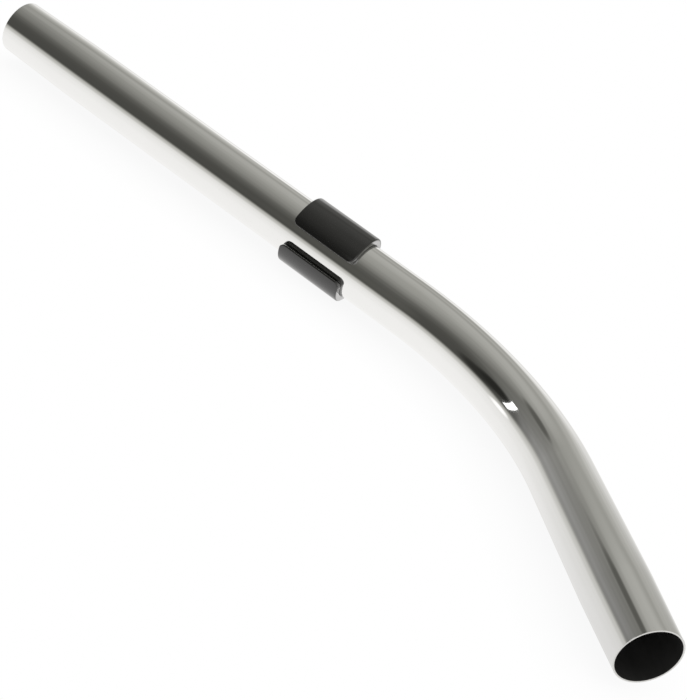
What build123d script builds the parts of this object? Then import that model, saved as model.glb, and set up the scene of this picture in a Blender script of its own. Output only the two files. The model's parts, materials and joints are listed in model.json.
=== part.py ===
"""Bent steel vacuum wand with a twist collar over its air-bleed hole.

The wand lies flat. +X runs along the straight run from the centre of its lower
rim, the bend turns towards -Y, and +Z is square to the bend.
"""

import os
from math import cos, radians, sin

from build123d import *

# Tube: one piece of drawn steel, bent once, with both ends drawn down to a taper.
tube_diameter = 32.0
tube_wall = 0.8
straight_length = 275.0
bend_radius = 155.0
bend_angle = 49.3
tail_length = 108.5
lower_tip_diameter = 30.3
lower_taper_length = 44.0
upper_tip_diameter = 30.3
upper_taper_length = 37.0
rim_chamfer = 0.25

# Air-bleed hole, on the outside of the bend, under the middle of the collar.
bleed_diameter = 10.0

# Collar: a split sleeve that grips the straight run and twists on it. Its gap has
# parallel sides and faces an angle from straight up, towards the inside of the bend.
collar_length = 39.0
collar_to_bend = 31.7
collar_wall = 3.8
collar_clearance = 0.08
collar_gap_width = 12.5
collar_gap_facing = 84.0
collar_corner_radius = 3.5
collar_edge_chamfer = 0.6
collar_bore_chamfer = 0.5

tube_radius = tube_diameter / 2
bore_radius = tube_radius - tube_wall
collar_start = straight_length - collar_to_bend - collar_length
collar_middle = collar_start + collar_length / 2
collar_bore_radius = tube_radius + collar_clearance
collar_outer_radius = collar_bore_radius + collar_wall

bend_centre = Vector(straight_length, -bend_radius, 0)
bend_axis = Axis(bend_centre, (0, 0, -1))
tail_direction = Vector(cos(radians(bend_angle)), -sin(radians(bend_angle)), 0)
tail_start = bend_centre + Vector(-tail_direction.Y, tail_direction.X, 0) * bend_radius
tail_end = tail_start + tail_direction * tail_length
# Looking along these planes' X from the rim into the tube, Y is the radius.
lower_plane = Plane.XY
upper_plane = Plane(tail_end, x_dir=-tail_direction, z_dir=(0, 0, 1))


def run_wall(tip_diameter, taper_length, run_length):
    """Corners of the wall of a straight run, from its tapered rim to the bend."""
    tip_radius = tip_diameter / 2
    return (
        (0, tip_radius - tube_wall),
        (0, tip_radius),
        (taper_length, tube_radius),
        (run_length, tube_radius),
        (run_length, bore_radius),
        (taper_length, bore_radius),
    )


# Wand tube
with BuildPart() as wand_tube:
    with BuildSketch(lower_plane):
        with BuildLine():
            Polyline(*run_wall(lower_tip_diameter, lower_taper_length, straight_length), close=True)
        make_face()
    revolve(axis=Axis(lower_plane.origin, lower_plane.x_dir))

    with BuildSketch(Plane.YZ.offset(straight_length)):
        Circle(tube_radius)
        Circle(bore_radius, mode=Mode.SUBTRACT)
    revolve(axis=bend_axis, revolution_arc=bend_angle)

    with BuildSketch(upper_plane):
        with BuildLine():
            Polyline(*run_wall(upper_tip_diameter, upper_taper_length, tail_length), close=True)
        make_face()
    revolve(axis=Axis(upper_plane.origin, upper_plane.x_dir))

    # The tube's only flat faces are its two rims.
    rims = wand_tube.faces().filter_by(GeomType.PLANE)
    chamfer(rims.edges(), rim_chamfer)

    with BuildSketch(Plane((collar_middle, 0, 0), z_dir=(0, 1, 0))):
        Circle(bleed_diameter / 2)
    extrude(amount=tube_diameter, mode=Mode.SUBTRACT)
wand_tube.part.label = "wand_tube"

# Suction collar
with BuildPart() as suction_collar:
    with BuildSketch(Plane.YZ.offset(collar_start)):
        Circle(collar_outer_radius)
        Circle(collar_bore_radius, mode=Mode.SUBTRACT)
        with PolarLocations(collar_outer_radius, 1, start_angle=90 + collar_gap_facing):
            Rectangle(2 * collar_outer_radius, collar_gap_width, mode=Mode.SUBTRACT)
    extrude(amount=collar_length)

    # The four short edges across the wall are the corners of the two lips.
    lip_corners = suction_collar.edges().filter_by(GeomType.LINE).filter_by(Axis.X, reverse=True)
    fillet(lip_corners, collar_corner_radius)
    outer_face = suction_collar.faces().sort_by(SortBy.AREA)[-1]
    chamfer(outer_face.edges(), collar_edge_chamfer)
    bore_face = suction_collar.faces().sort_by(SortBy.AREA)[-2]
    chamfer(bore_face.edges(), collar_bore_chamfer)
suction_collar.part.label = "suction_collar"

os.makedirs("parts", exist_ok=True)
export_step(wand_tube.part, "parts/wand_tube.step")
export_step(suction_collar.part, "parts/suction_collar.step")
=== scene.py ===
"""Chromed bent vacuum wand with a black twist collar, lying on a white studio table."""

import json
from math import asin, atan2, ceil, cos, pi, radians, sin, tan

import bmesh
import bpy
from mathutils import Matrix, Vector


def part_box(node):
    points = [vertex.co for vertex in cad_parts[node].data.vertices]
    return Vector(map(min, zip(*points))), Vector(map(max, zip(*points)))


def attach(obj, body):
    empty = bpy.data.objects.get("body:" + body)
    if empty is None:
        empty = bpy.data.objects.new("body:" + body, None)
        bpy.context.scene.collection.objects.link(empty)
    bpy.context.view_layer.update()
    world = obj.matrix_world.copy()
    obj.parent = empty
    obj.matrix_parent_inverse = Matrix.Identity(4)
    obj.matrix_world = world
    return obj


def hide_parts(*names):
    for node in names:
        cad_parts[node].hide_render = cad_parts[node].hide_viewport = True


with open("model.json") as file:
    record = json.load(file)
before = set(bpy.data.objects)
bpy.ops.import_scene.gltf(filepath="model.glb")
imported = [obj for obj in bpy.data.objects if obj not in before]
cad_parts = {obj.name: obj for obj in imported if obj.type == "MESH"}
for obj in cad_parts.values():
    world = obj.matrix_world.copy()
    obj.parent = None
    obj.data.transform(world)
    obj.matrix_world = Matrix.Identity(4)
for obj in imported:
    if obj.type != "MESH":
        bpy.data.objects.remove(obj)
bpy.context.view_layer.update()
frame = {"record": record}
scene = bpy.context.scene
mounts = {mount["name"]: mount for mount in frame["record"]["mounts"]}
UP = Vector((0, 0, 1))

# Tube sizes that the frame doesn't state, in metres.
WALL = 0.0008
LOWER_TIP_RADIUS = 0.01515
LOWER_TAPER = 0.044
UPPER_TIP_RADIUS = 0.01515
UPPER_TAPER = 0.037
RIM_ROUNDING = 0.00015
BLEED_RADIUS = 0.005

# Collar sizes that the frame doesn't state. Its gap faces an angle from +Z towards -Y.
COLLAR_BORE_RADIUS = 0.01608
COLLAR_OUTER_RADIUS = 0.01988
COLLAR_GAP_WIDTH = 0.0125
COLLAR_GAP_FACING = radians(84)
COLLAR_CORNER_RADIUS = 0.0035
COLLAR_EDGE_RADIUS = 0.0007
COLLAR_BORE_EDGE = 0.0005

# How finely the meshes are divided, and the angles from which their edges stay sharp.
TUBE_SIDES = 192
RIM_STEPS = 4
BLEED_SIDES = 64
TUBE_SHARP_ANGLE = radians(35)
COLLAR_CORNER_STEPS = 8
COLLAR_EDGE_STEPS = 5
COLLAR_BORE_EDGE_STEPS = 3
COLLAR_BANDS = 120
COLLAR_SHARP_ANGLE = radians(40)
TOLERANCE = 1e-7

# The tube's finishes, in the order of its material slots.
CHROME, BORE, RIM = range(3)

# Greys of the room in front of the table and of the backdrop behind it, as (height, grey). The height
# of a direction goes from -1, straight down, to 1, straight up.
ROOM_GREYS = (
    (-1, 1.0), (-0.7, 0.985), (-0.5, 0.94), (-0.34, 0.87), (-0.16, 0.56), (-0.1, 0.46), (-0.05, 0.25),
    (0.0, 0.095), (0.05, 0.064), (0.3, 0.068), (0.5, 0.078), (0.67, 0.088), (0.8, 0.13), (0.9, 0.2),
    (1, 0.34))
BACKDROP_GREYS = (
    (-1, 1.0), (-0.75, 1.0), (-0.55, 0.9), (-0.3, 0.83), (-0.1, 0.81), (0.05, 0.88), (0.15, 0.94),
    (0.3, 0.77), (0.42, 0.6), (0.58, 0.45), (0.69, 0.36), (0.82, 0.46), (0.92, 0.45), (1, 0.36))

# Share of the room against the backdrop, as (lean, share). A direction's lean towards the middle of the
# room, at an azimuth in degrees, goes from -1, away from it, to 1, straight at it.
ROOM_AZIMUTH = 215
ROOM_SHARES = (
    (-1, 0), (-0.35, 0), (-0.05, 0.1), (0.1, 0.3), (0.28, 0.58), (0.45, 0.7), (0.6, 0.76), (0.7, 0.83),
    (0.8, 0.95), (0.88, 1), (1, 1))

# Soft patches in the room, as (azimuth, elevation, core, reach, grey), with the angles in degrees.
ROOM_PATCHES = (
    (231, 11, 3, 13, 0.03), (241, 17, 4, 12, 0.022),  # dark doorway
    (281.5, 44, 2, 8.3, 0.11), (346, 25, 3, 11, 0.38),  # dim shapes above the backdrop
    (45, 16, 20, 48, 0.35),  # beyond the backdrop's right-hand edge
    (180, 14, 4, 24, 0.1),  # lighter wall beside the doorway
    (339, 8, 2, 9, 1.02),  # foot of the backdrop
    (17, -26, 4, 8, 1.8),  # pool of light on the table behind the collar
    (150, 25, 15, 38, 0.9),  # window on the right
    (247, -15, 1, 7, 1.2),  # strip lamp's glow on the table
)

# Table: the soft shadow's reach and darkest shade, and how reflections of the table are darkened by painted
# shade near the upper rim, from one distance to another.
TABLE_SIZE = 6
SHADOW_REACH = 0.035
SHADOW_SHADE = 0.92
DIMMED_SHADE = 0.79
DIMMED_FROM = 0.02
DIMMED_TO = 0.18

# Lamps. The strip's middle, top and foot are directions from the bend, as (azimuth, elevation) in degrees.
STRIP_MIDDLE = (249.5, 14)
STRIP_TOP = (253, 26)
STRIP_FOOT = (246, 2)
STRIP_DISTANCE = 2.5
STRIP_SIZE = (0.15, 1.05)
STRIP_POWER = 0.75
OVERHEAD_PLACE = Vector((0.2, 0.3, 2.0))
OVERHEAD_TARGET = Vector((0.25, -0.05, 0))
OVERHEAD_SIZE = (2, 2)
OVERHEAD_POWER = 22

# The photograph's camera: its place, its line of sight and its roll about that line in degrees, and its
# focal length in pixels of an image of that height.
CAMERA_PLACE = Vector((0.406605, -0.591427, 0.269739))
CAMERA_AZIMUTH = -14.114
CAMERA_ELEVATION = -27.173
CAMERA_ROLL = -30.083
FOCAL_PIXELS = 1269.6
IMAGE_HEIGHT = 700

# The tube's line, from where its ends and its plain upper stretch are mounted.
grip = mounts["upper_tube"]
half_grip_length = grip["dims"]["length_mm"] / 2000
tail_end = Vector(mounts["upper_spigot"]["pos_m"])
tail_direction = Vector(grip["axis"])
tail_start = Vector(grip["pos_m"]) - tail_direction * half_grip_length
bend_angle = atan2(-tail_direction.y, tail_direction.x)
corner = tail_start + tail_direction * (tail_start.y / -tail_direction.y)
bend_radius = (tail_start - corner).length / tan(bend_angle / 2)
straight_length = corner.x - (tail_start - corner).length
bend_length = bend_radius * bend_angle
tail_length = (tail_end - tail_start).length
tube_length = straight_length + bend_length + tail_length
tube_radius = grip["dims"]["r_mm"] / 1000

collar_low, collar_high = (Vector(corner_point) for corner_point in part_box("suction_collar"))
collar_middle = (collar_low.x + collar_high.x) / 2
collar_length = collar_high.x - collar_low.x


def station(along):
    """Point and direction of the tube's centre line at a distance from its lower rim."""
    if along <= straight_length:
        return Vector((along, 0, 0)), Vector((1, 0, 0))
    turned = min(along - straight_length, bend_length) / bend_radius
    direction = Vector((cos(turned), -sin(turned), 0))
    point = Vector((straight_length + bend_radius * sin(turned), bend_radius * (cos(turned) - 1), 0))
    return point + direction * max(0.0, along - straight_length - bend_length), direction


def outer_radius(along):
    """Outside radius of the tube, with both ends drawn down to a taper."""
    lower = LOWER_TIP_RADIUS + (tube_radius - LOWER_TIP_RADIUS) * along / LOWER_TAPER
    upper = UPPER_TIP_RADIUS + (tube_radius - UPPER_TIP_RADIUS) * (tube_length - along) / UPPER_TAPER
    return min(lower, upper, tube_radius)


def spread(start, end, step):
    """Evenly spaced values, at most step apart, from start up to, but not including, end."""
    count = max(1, ceil((end - start) / step))
    return [start + (end - start) * i / count for i in range(count)]


def add_object(name, mesh, material, body=None, node=None):
    """Put a smooth mesh in the scene, where a piece rides on its body in place of its node."""
    obj = bpy.data.objects.new(name, mesh)
    scene.collection.objects.link(obj)
    mesh.materials.append(material)
    mesh.polygons.foreach_set("use_smooth", [True] * len(mesh.polygons))
    if body:
        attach(obj, body)
        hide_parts(node)
    return obj


def new_material(name):
    """A material with only a Principled shader, and its nodes and links."""
    material = bpy.data.materials.new(name)
    material.use_nodes = True
    return material, material.node_tree.nodes, material.node_tree.links


def stretched_noise(nodes, links, coords, scale, detail):
    """Noise over coordinates in metres, with its own scale in each direction."""
    mapping = nodes.new("ShaderNodeMapping")
    mapping.inputs["Scale"].default_value = scale
    noise = nodes.new("ShaderNodeTexNoise")
    noise.inputs["Scale"].default_value = 1.0
    noise.inputs["Detail"].default_value = detail
    links.new(coords, mapping.inputs["Vector"])
    links.new(mapping.outputs["Vector"], noise.inputs["Vector"])
    return noise.outputs["Fac"]


def remap(nodes, links, value, low, high, from_low=0.3, from_high=0.7):
    """Bring a value from one span to another. The first is where most noise lies, unless it is given."""
    node = nodes.new("ShaderNodeMapRange")
    node.inputs["From Min"].default_value = from_low
    node.inputs["From Max"].default_value = from_high
    node.inputs["To Min"].default_value = low
    node.inputs["To Max"].default_value = high
    links.new(value, node.inputs["Value"])
    return node.outputs["Result"]


def bumped(nodes, links, height, strength, depth):
    """A bump from a height, as deep as depth metres at full strength."""
    bump = nodes.new("ShaderNodeBump")
    bump.inputs["Strength"].default_value = strength
    bump.inputs["Distance"].default_value = depth
    links.new(height, bump.inputs["Height"])
    return bump.outputs["Normal"]


def blend(nodes, links, share, first, second):
    """A colour between two others, each a plain colour or another node's output."""
    mix = nodes.new("ShaderNodeMix")
    mix.data_type = "RGBA"
    links.new(share, mix.inputs[0])
    for colour, socket in ((first, mix.inputs[6]), (second, mix.inputs[7])):
        if isinstance(colour, tuple):
            socket.default_value = (*colour, 1)
        else:
            links.new(colour, socket)
    return mix.outputs[2]


def mixed_shader(nodes, links, share, first, second):
    """A shader between two others."""
    mix = nodes.new("ShaderNodeMixShader")
    links.new(share, mix.inputs["Fac"])
    links.new(first, mix.inputs[1])
    links.new(second, mix.inputs[2])
    return mix.outputs["Shader"]


def chrome_material():
    """Bright plate with faint polishing lines along the tube and hazy handling marks."""
    material, nodes, links = new_material("chrome_plate")
    shader = nodes["Principled BSDF"]
    shader.inputs["Metallic"].default_value = 1.0
    coords = nodes.new("ShaderNodeTexCoord").outputs["UV"]
    lines = stretched_noise(nodes, links, coords, (9, 2600, 1), 3)
    haze = stretched_noise(nodes, links, coords, (34, 60, 1), 4)
    colour = blend(nodes, links, haze, (0.845, 0.848, 0.838), (0.885, 0.885, 0.878))
    links.new(colour, shader.inputs["Base Color"])
    links.new(remap(nodes, links, haze, 0.025, 0.06), shader.inputs["Roughness"])
    links.new(bumped(nodes, links, lines, 0.05, 0.00002), shader.inputs["Normal"])
    return material


def bore_material():
    """Bare steel inside the tube, near-black as painted shade, with random dusty stains."""
    material, nodes, links = new_material("bare_bore")
    shader = nodes["Principled BSDF"]
    shader.inputs["Metallic"].default_value = 0.5
    coords = nodes.new("ShaderNodeTexCoord").outputs["UV"]
    stain = stretched_noise(nodes, links, coords, (25, 120, 1), 5)
    # Both greys are near-black as painted shade of the bore; the stain noise only varies them at random.
    colour = blend(nodes, links, stain, (0.06, 0.06, 0.06), (0.1, 0.1, 0.099))
    links.new(colour, shader.inputs["Base Color"])
    links.new(remap(nodes, links, stain, 0.45, 0.6), shader.inputs["Roughness"])
    return material


def rim_material():
    """Satin steel where the tube was cut off."""
    material, nodes, links = new_material("cut_rim")
    shader = nodes["Principled BSDF"]
    shader.inputs["Metallic"].default_value = 1.0
    coords = nodes.new("ShaderNodeTexCoord").outputs["Object"]
    grain = stretched_noise(nodes, links, coords, (900, 900, 900), 3)
    colour = blend(nodes, links, grain, (0.85, 0.85, 0.84), (0.95, 0.95, 0.94))
    links.new(colour, shader.inputs["Base Color"])
    links.new(remap(nodes, links, grain, 0.22, 0.34), shader.inputs["Roughness"])
    return material


def plastic_material():
    """Glossy black moulded plastic with a slight ripple and rubbed patches."""
    material, nodes, links = new_material("black_moulding")
    shader = nodes["Principled BSDF"]
    shader.inputs["IOR"].default_value = 1.76
    coords = nodes.new("ShaderNodeTexCoord").outputs["Object"]
    ripple = stretched_noise(nodes, links, coords, (420, 420, 420), 2)
    rubbed = stretched_noise(nodes, links, coords, (70, 160, 160), 5)
    colour = blend(nodes, links, rubbed, (0.004, 0.004, 0.004), (0.009, 0.009, 0.009))
    links.new(colour, shader.inputs["Base Color"])
    links.new(remap(nodes, links, rubbed, 0.05, 0.11), shader.inputs["Roughness"])
    links.new(bumped(nodes, links, ripple, 0.12, 0.00005), shader.inputs["Normal"])
    return material


def tube_sections():
    """Rings of the tube as (distance, radius, finish), out along the outside and back inside."""
    edges = (0, LOWER_TAPER, collar_low.x, collar_high.x, straight_length, straight_length + bend_length,
             tube_length - UPPER_TAPER, tube_length)
    steps = (0.006, 0.012, 0.0025, 0.01, 0.002, 0.012, 0.004)
    runs = [spread(edges[i], edges[i + 1], steps[i]) for i in range(len(steps))]
    by_rims = (2 * RIM_ROUNDING, tube_length - 2 * RIM_ROUNDING)
    stations = [by_rims[0], *(along for run in runs for along in run if along > by_rims[0]), by_rims[1]]
    outside = [(along, outer_radius(along), CHROME) for along in stations]
    inside = [(along, outer_radius(along) - WALL, BORE) for along in reversed(stations)]

    def rim(along, outward):
        """The cut edge of the wall: a flat ring between two rounded corners."""
        tip = outer_radius(along)
        turns = [pi / 2 * i / RIM_STEPS for i in range(RIM_STEPS + 1)]
        outer_corner = [(sin(turn) - 1, tip - RIM_ROUNDING * (1 - cos(turn))) for turn in turns]
        inner_corner = [(cos(turn) - 1, tip - WALL + RIM_ROUNDING * (1 - sin(turn))) for turn in turns]
        return [(along + outward * RIM_ROUNDING * back, radius, RIM)
                for back, radius in outer_corner + inner_corner]

    return outside + rim(tube_length, 1) + inside + rim(0, -1)[::-1]


def build_tube():
    """Sweep the wall's rings along the centre line, then drill the air-bleed hole."""
    sections = tube_sections()
    turns = [2 * pi * i / TUBE_SIDES for i in range(TUBE_SIDES)]
    bm = bmesh.new()
    uv = bm.loops.layers.uv.new("tube")
    rings = []
    for along, radius, _ in sections:
        point, direction = station(along)
        sideways = Vector((direction.y, -direction.x, 0))
        places = [point + radius * (sideways * sin(turn) - UP * cos(turn)) for turn in turns]
        rings.append([bm.verts.new(place) for place in places])
    for j, ring in enumerate(rings):
        after = (j + 1) % len(rings)
        for i in range(TUBE_SIDES):
            k = (i + 1) % TUBE_SIDES
            face = bm.faces.new((ring[i], ring[k], rings[after][k], rings[after][i]))
            face.material_index = min(sections[j][2], sections[after][2])
            for loop, (row, column) in zip(face.loops, ((j, i), (j, i + 1), (after, i + 1), (after, i))):
                loop[uv].uv = (sections[row][0], 2 * pi * tube_radius * column / TUBE_SIDES)
    bmesh.ops.recalc_face_normals(bm, faces=bm.faces)
    mesh = bpy.data.meshes.new("wand_tube_visual")
    bm.to_mesh(mesh)
    bm.free()
    tube = add_object("chrome_tube", mesh, chrome_material(), "wand", "wand_tube")
    mesh.materials.append(bore_material())
    mesh.materials.append(rim_material())
    drill_bleed_hole(tube)
    tube.data.set_sharp_from_angle(angle=TUBE_SHARP_ANGLE)


def drill_bleed_hole(tube):
    """Cut the air-bleed hole through the wall on the outside of the bend."""
    bm = bmesh.new()
    across = Matrix.Translation((collar_middle, tube_radius, 0)) @ Matrix.Rotation(pi / 2, 4, "X")
    bmesh.ops.create_cone(bm, cap_ends=True, segments=BLEED_SIDES, radius1=BLEED_RADIUS, radius2=BLEED_RADIUS,
                          depth=tube_radius, matrix=across)
    drill_mesh = bpy.data.meshes.new("drill")
    bm.to_mesh(drill_mesh)
    bm.free()
    drill = bpy.data.objects.new("drill", drill_mesh)
    scene.collection.objects.link(drill)
    cut = tube.modifiers.new("bleed_hole", "BOOLEAN")
    cut.operation = "DIFFERENCE"
    cut.solver = "EXACT"
    cut.object = drill
    bpy.context.view_layer.update()
    cut_mesh = bpy.data.meshes.new_from_object(tube.evaluated_get(bpy.context.evaluated_depsgraph_get()))
    tube.modifiers.remove(cut)
    tube.data = cut_mesh
    bpy.data.objects.remove(drill)


def collar_outline(length, width, radius):
    """Points round a flat rectangle with rounded corners, as (along, across)."""
    points = []
    for quarter, (x_side, y_side) in enumerate(((1, 1), (-1, 1), (-1, -1), (1, -1))):
        for i in range(COLLAR_CORNER_STEPS + 1):
            angle = pi / 2 * (quarter + i / COLLAR_CORNER_STEPS)
            points.append((x_side * (length / 2 - radius) + radius * cos(angle),
                           y_side * (width / 2 - radius) + radius * sin(angle)))
    return points


def half_wrap(radius):
    """Angle from the collar's back to a side of its gap, which has parallel sides."""
    return pi - asin(COLLAR_GAP_WIDTH / 2 / radius)


def build_collar():
    """Mould the collar flat with rounded edges, then roll it round the tube's line."""
    wall = COLLAR_OUTER_RADIUS - COLLAR_BORE_RADIUS
    flat_width = 2 * half_wrap(COLLAR_OUTER_RADIUS) * COLLAR_OUTER_RADIUS
    outline = collar_outline(collar_length, flat_width, COLLAR_CORNER_RADIUS)
    bm = bmesh.new()
    bottom = bm.faces.new([bm.verts.new((x, y, 0)) for x, y in outline])
    raised = bmesh.ops.extrude_face_region(bm, geom=[bottom], use_keep_orig=True)["geom"]
    top_verts = [item for item in raised if isinstance(item, bmesh.types.BMVert)]
    bmesh.ops.translate(bm, verts=top_verts, vec=(0, 0, wall))
    bmesh.ops.recalc_face_normals(bm, faces=bm.faces)
    outer_edge = (wall, COLLAR_EDGE_RADIUS, COLLAR_EDGE_STEPS)
    bore_edge = (0, COLLAR_BORE_EDGE, COLLAR_BORE_EDGE_STEPS)
    for height, size, steps in (outer_edge, bore_edge):
        rim = [edge for edge in bm.edges if all(abs(vert.co.z - height) < TOLERANCE for vert in edge.verts)]
        bmesh.ops.bevel(bm, geom=rim, offset=size, segments=steps, profile=0.5, affect="EDGES")
    for i in range(1, COLLAR_BANDS):
        bmesh.ops.bisect_plane(bm, geom=bm.verts[:] + bm.edges[:] + bm.faces[:], dist=TOLERANCE,
                               plane_co=(0, flat_width * (i / COLLAR_BANDS - 0.5), 0), plane_no=(0, 1, 0))
    for vert in bm.verts:
        radius = COLLAR_BORE_RADIUS + vert.co.z
        turn = COLLAR_GAP_FACING + pi + half_wrap(radius) * vert.co.y / (flat_width / 2)
        vert.co = (collar_middle + vert.co.x, -radius * sin(turn), radius * cos(turn))
    bmesh.ops.recalc_face_normals(bm, faces=bm.faces)
    mesh = bpy.data.meshes.new("suction_collar_visual")
    bm.to_mesh(mesh)
    bm.free()
    mesh.set_sharp_from_angle(angle=COLLAR_SHARP_ANGLE)
    add_object("black_collar", mesh, plastic_material(), "collar", "suction_collar")


def compass(azimuth, elevation):
    """Unit vector at an azimuth from +Y towards +X and an elevation, in degrees."""
    turn, rise = radians(azimuth), radians(elevation)
    return Vector((cos(rise) * sin(turn), cos(rise) * cos(turn), sin(rise)))


def warm(grey):
    """A grey that is the warmer the darker it is."""
    return grey, 0.99 * grey, min(0.98, 0.88 + 0.1 * grey) * grey


def value_ramp(nodes, links, value, stops):
    """A ramp of warm greys over a value from -1 to 1, from (value, grey) stops."""
    ramp = nodes.new("ShaderNodeValToRGB")
    ramp.color_ramp.interpolation = "EASE"
    elements = ramp.color_ramp.elements
    while len(elements) < len(stops):
        elements.new(0.5)
    for element, (place, grey) in zip(elements, stops):
        element.position = (place + 1) / 2
        element.color = (*warm(grey), 1)
    links.new(remap(nodes, links, value, 0, 1, -1, 1), ramp.inputs["Fac"])
    return ramp.outputs["Color"]


def lean(nodes, links, direction, azimuth, elevation):
    """How far a direction points at an azimuth and elevation, from -1, away from it, to 1."""
    dot = nodes.new("ShaderNodeVectorMath")
    dot.operation = "DOT_PRODUCT"
    dot.inputs[1].default_value = compass(azimuth, elevation)
    links.new(direction, dot.inputs[0])
    return dot.outputs["Value"]


def soft_spot(nodes, links, direction, azimuth, elevation, core, reach):
    """A full share within core degrees of a direction, fading to none at reach degrees."""
    fade = nodes.new("ShaderNodeMapRange")
    fade.interpolation_type = "SMOOTHSTEP"
    fade.inputs["From Min"].default_value = cos(radians(reach))
    fade.inputs["From Max"].default_value = cos(radians(core))
    links.new(lean(nodes, links, direction, azimuth, elevation), fade.inputs["Value"])
    return fade.outputs["Result"]


def build_world():
    """A room that is dark in front of the table and pale behind it; the camera sees plain white."""
    world = bpy.data.worlds.new("studio")
    scene.world = world
    world.use_nodes = True
    nodes, links = world.node_tree.nodes, world.node_tree.links
    nodes.clear()
    direction = nodes.new("ShaderNodeTexCoord").outputs["Generated"]
    split = nodes.new("ShaderNodeSeparateXYZ")
    links.new(direction, split.inputs["Vector"])
    height = split.outputs["Z"]

    room = value_ramp(nodes, links, height, ROOM_GREYS)
    backdrop = value_ramp(nodes, links, height, BACKDROP_GREYS)
    share = value_ramp(nodes, links, lean(nodes, links, direction, ROOM_AZIMUTH, 0), ROOM_SHARES)
    surroundings = blend(nodes, links, share, backdrop, room)
    for azimuth, elevation, core, reach, grey in ROOM_PATCHES:
        spot = soft_spot(nodes, links, direction, azimuth, elevation, core, reach)
        surroundings = blend(nodes, links, spot, surroundings, warm(grey))

    path = nodes.new("ShaderNodeLightPath")
    seen = blend(nodes, links, path.outputs["Is Camera Ray"], surroundings, (1, 1, 1))
    background = nodes.new("ShaderNodeBackground")
    links.new(seen, background.inputs["Color"])
    output = nodes.new("ShaderNodeOutputWorld")
    links.new(background.outputs["Background"], output.inputs["Surface"])


def facing_matrix(place, target, upwards):
    """A matrix at place whose -Z looks at target and whose Y leans towards upwards."""
    back = (place - target).normalized()
    right = upwards.cross(back).normalized()
    rows = Matrix((right, back.cross(right), back)).transposed()
    return Matrix.Translation(place) @ rows.to_4x4()


def build_floor():
    """White table, plain white to the camera but for the wand's soft shadow.

    Reflections look through it at the white lower half of the room, with painted shade round the upper rim.
    """
    material, nodes, links = new_material("white_table")
    shader = nodes["Principled BSDF"]
    shader.inputs["Base Color"].default_value = (0.8, 0.8, 0.8, 1)
    shader.inputs["Roughness"].default_value = 0.9
    shadow = nodes.new("ShaderNodeAmbientOcclusion")
    shadow.samples = 16
    shadow.inputs["Distance"].default_value = SHADOW_REACH
    glow = nodes.new("ShaderNodeEmission")
    links.new(remap(nodes, links, shadow.outputs["AO"], SHADOW_SHADE, 1, 0, 1), glow.inputs["Color"])
    # Painted shade: reflections of the table darken towards the upper rim, standing in for the wand's shadow
    # on the table.
    away = nodes.new("ShaderNodeVectorMath")
    away.operation = "DISTANCE"
    away.inputs[1].default_value = tail_end
    links.new(nodes.new("ShaderNodeNewGeometry").outputs["Position"], away.inputs[0])
    shade = remap(nodes, links, away.outputs["Value"], DIMMED_SHADE, 1, DIMMED_FROM, DIMMED_TO)
    dimmed = nodes.new("ShaderNodeBsdfTransparent")
    links.new(shade, dimmed.inputs["Color"])

    path = nodes.new("ShaderNodeLightPath")
    to_camera, to_gloss = path.outputs["Is Camera Ray"], path.outputs["Is Glossy Ray"]
    lit = mixed_shader(nodes, links, to_camera, shader.outputs["BSDF"], glow.outputs["Emission"])
    seen = mixed_shader(nodes, links, to_gloss, lit, dimmed.outputs["BSDF"])
    links.new(seen, nodes["Material Output"].inputs["Surface"])

    bm = bmesh.new()
    lowest = Matrix.Translation((collar_middle, 0, -COLLAR_OUTER_RADIUS))
    bmesh.ops.create_grid(bm, x_segments=2, y_segments=2, size=TABLE_SIZE, matrix=lowest)
    mesh = bpy.data.meshes.new("table")
    bm.to_mesh(mesh)
    bm.free()
    add_object("table", mesh, material)


def add_light(name, place, target, upwards, size, power, reflected):
    """A soft rectangular lamp, which shiny surfaces show only if it is reflected."""
    light = bpy.data.lights.new(name, "AREA")
    light.shape = "RECTANGLE"
    light.size, light.size_y = size
    light.energy = power
    lamp = bpy.data.objects.new(name, light)
    scene.collection.objects.link(lamp)
    lamp.matrix_world = facing_matrix(place, target, upwards)
    lamp.visible_camera = False
    lamp.visible_glossy = reflected


def build_lights():
    """A leaning strip lamp that the bend reflects, and a broad soft lamp overhead."""
    bend_middle, _ = station(straight_length + bend_length / 2)
    strip_place = bend_middle + compass(*STRIP_MIDDLE) * STRIP_DISTANCE
    strip_line = compass(*STRIP_TOP) - compass(*STRIP_FOOT)
    add_light("strip_lamp", strip_place, bend_middle, strip_line, STRIP_SIZE, STRIP_POWER, True)
    add_light("overhead_lamp", OVERHEAD_PLACE, OVERHEAD_TARGET, Vector((0, 1, 0)), OVERHEAD_SIZE,
              OVERHEAD_POWER, False)


def build_camera():
    """The photograph's camera, which looks down at the table and is rolled about its line of sight."""
    camera = bpy.data.cameras.new("photo_camera")
    camera.sensor_width = 36
    camera.lens = FOCAL_PIXELS / IMAGE_HEIGHT * camera.sensor_width
    camera.clip_start = 0.01
    holder = bpy.data.objects.new("photo_camera", camera)
    scene.collection.objects.link(holder)
    sight = compass(CAMERA_AZIMUTH, CAMERA_ELEVATION)
    upright = sight.cross(UP).cross(sight)
    rolled = Matrix.Rotation(radians(CAMERA_ROLL), 3, sight) @ upright
    holder.matrix_world = facing_matrix(CAMERA_PLACE, CAMERA_PLACE + sight, rolled)
    scene.camera = holder


build_tube()
build_collar()
build_world()
build_floor()
build_lights()
build_camera()
scene.view_settings.view_transform = "Standard"
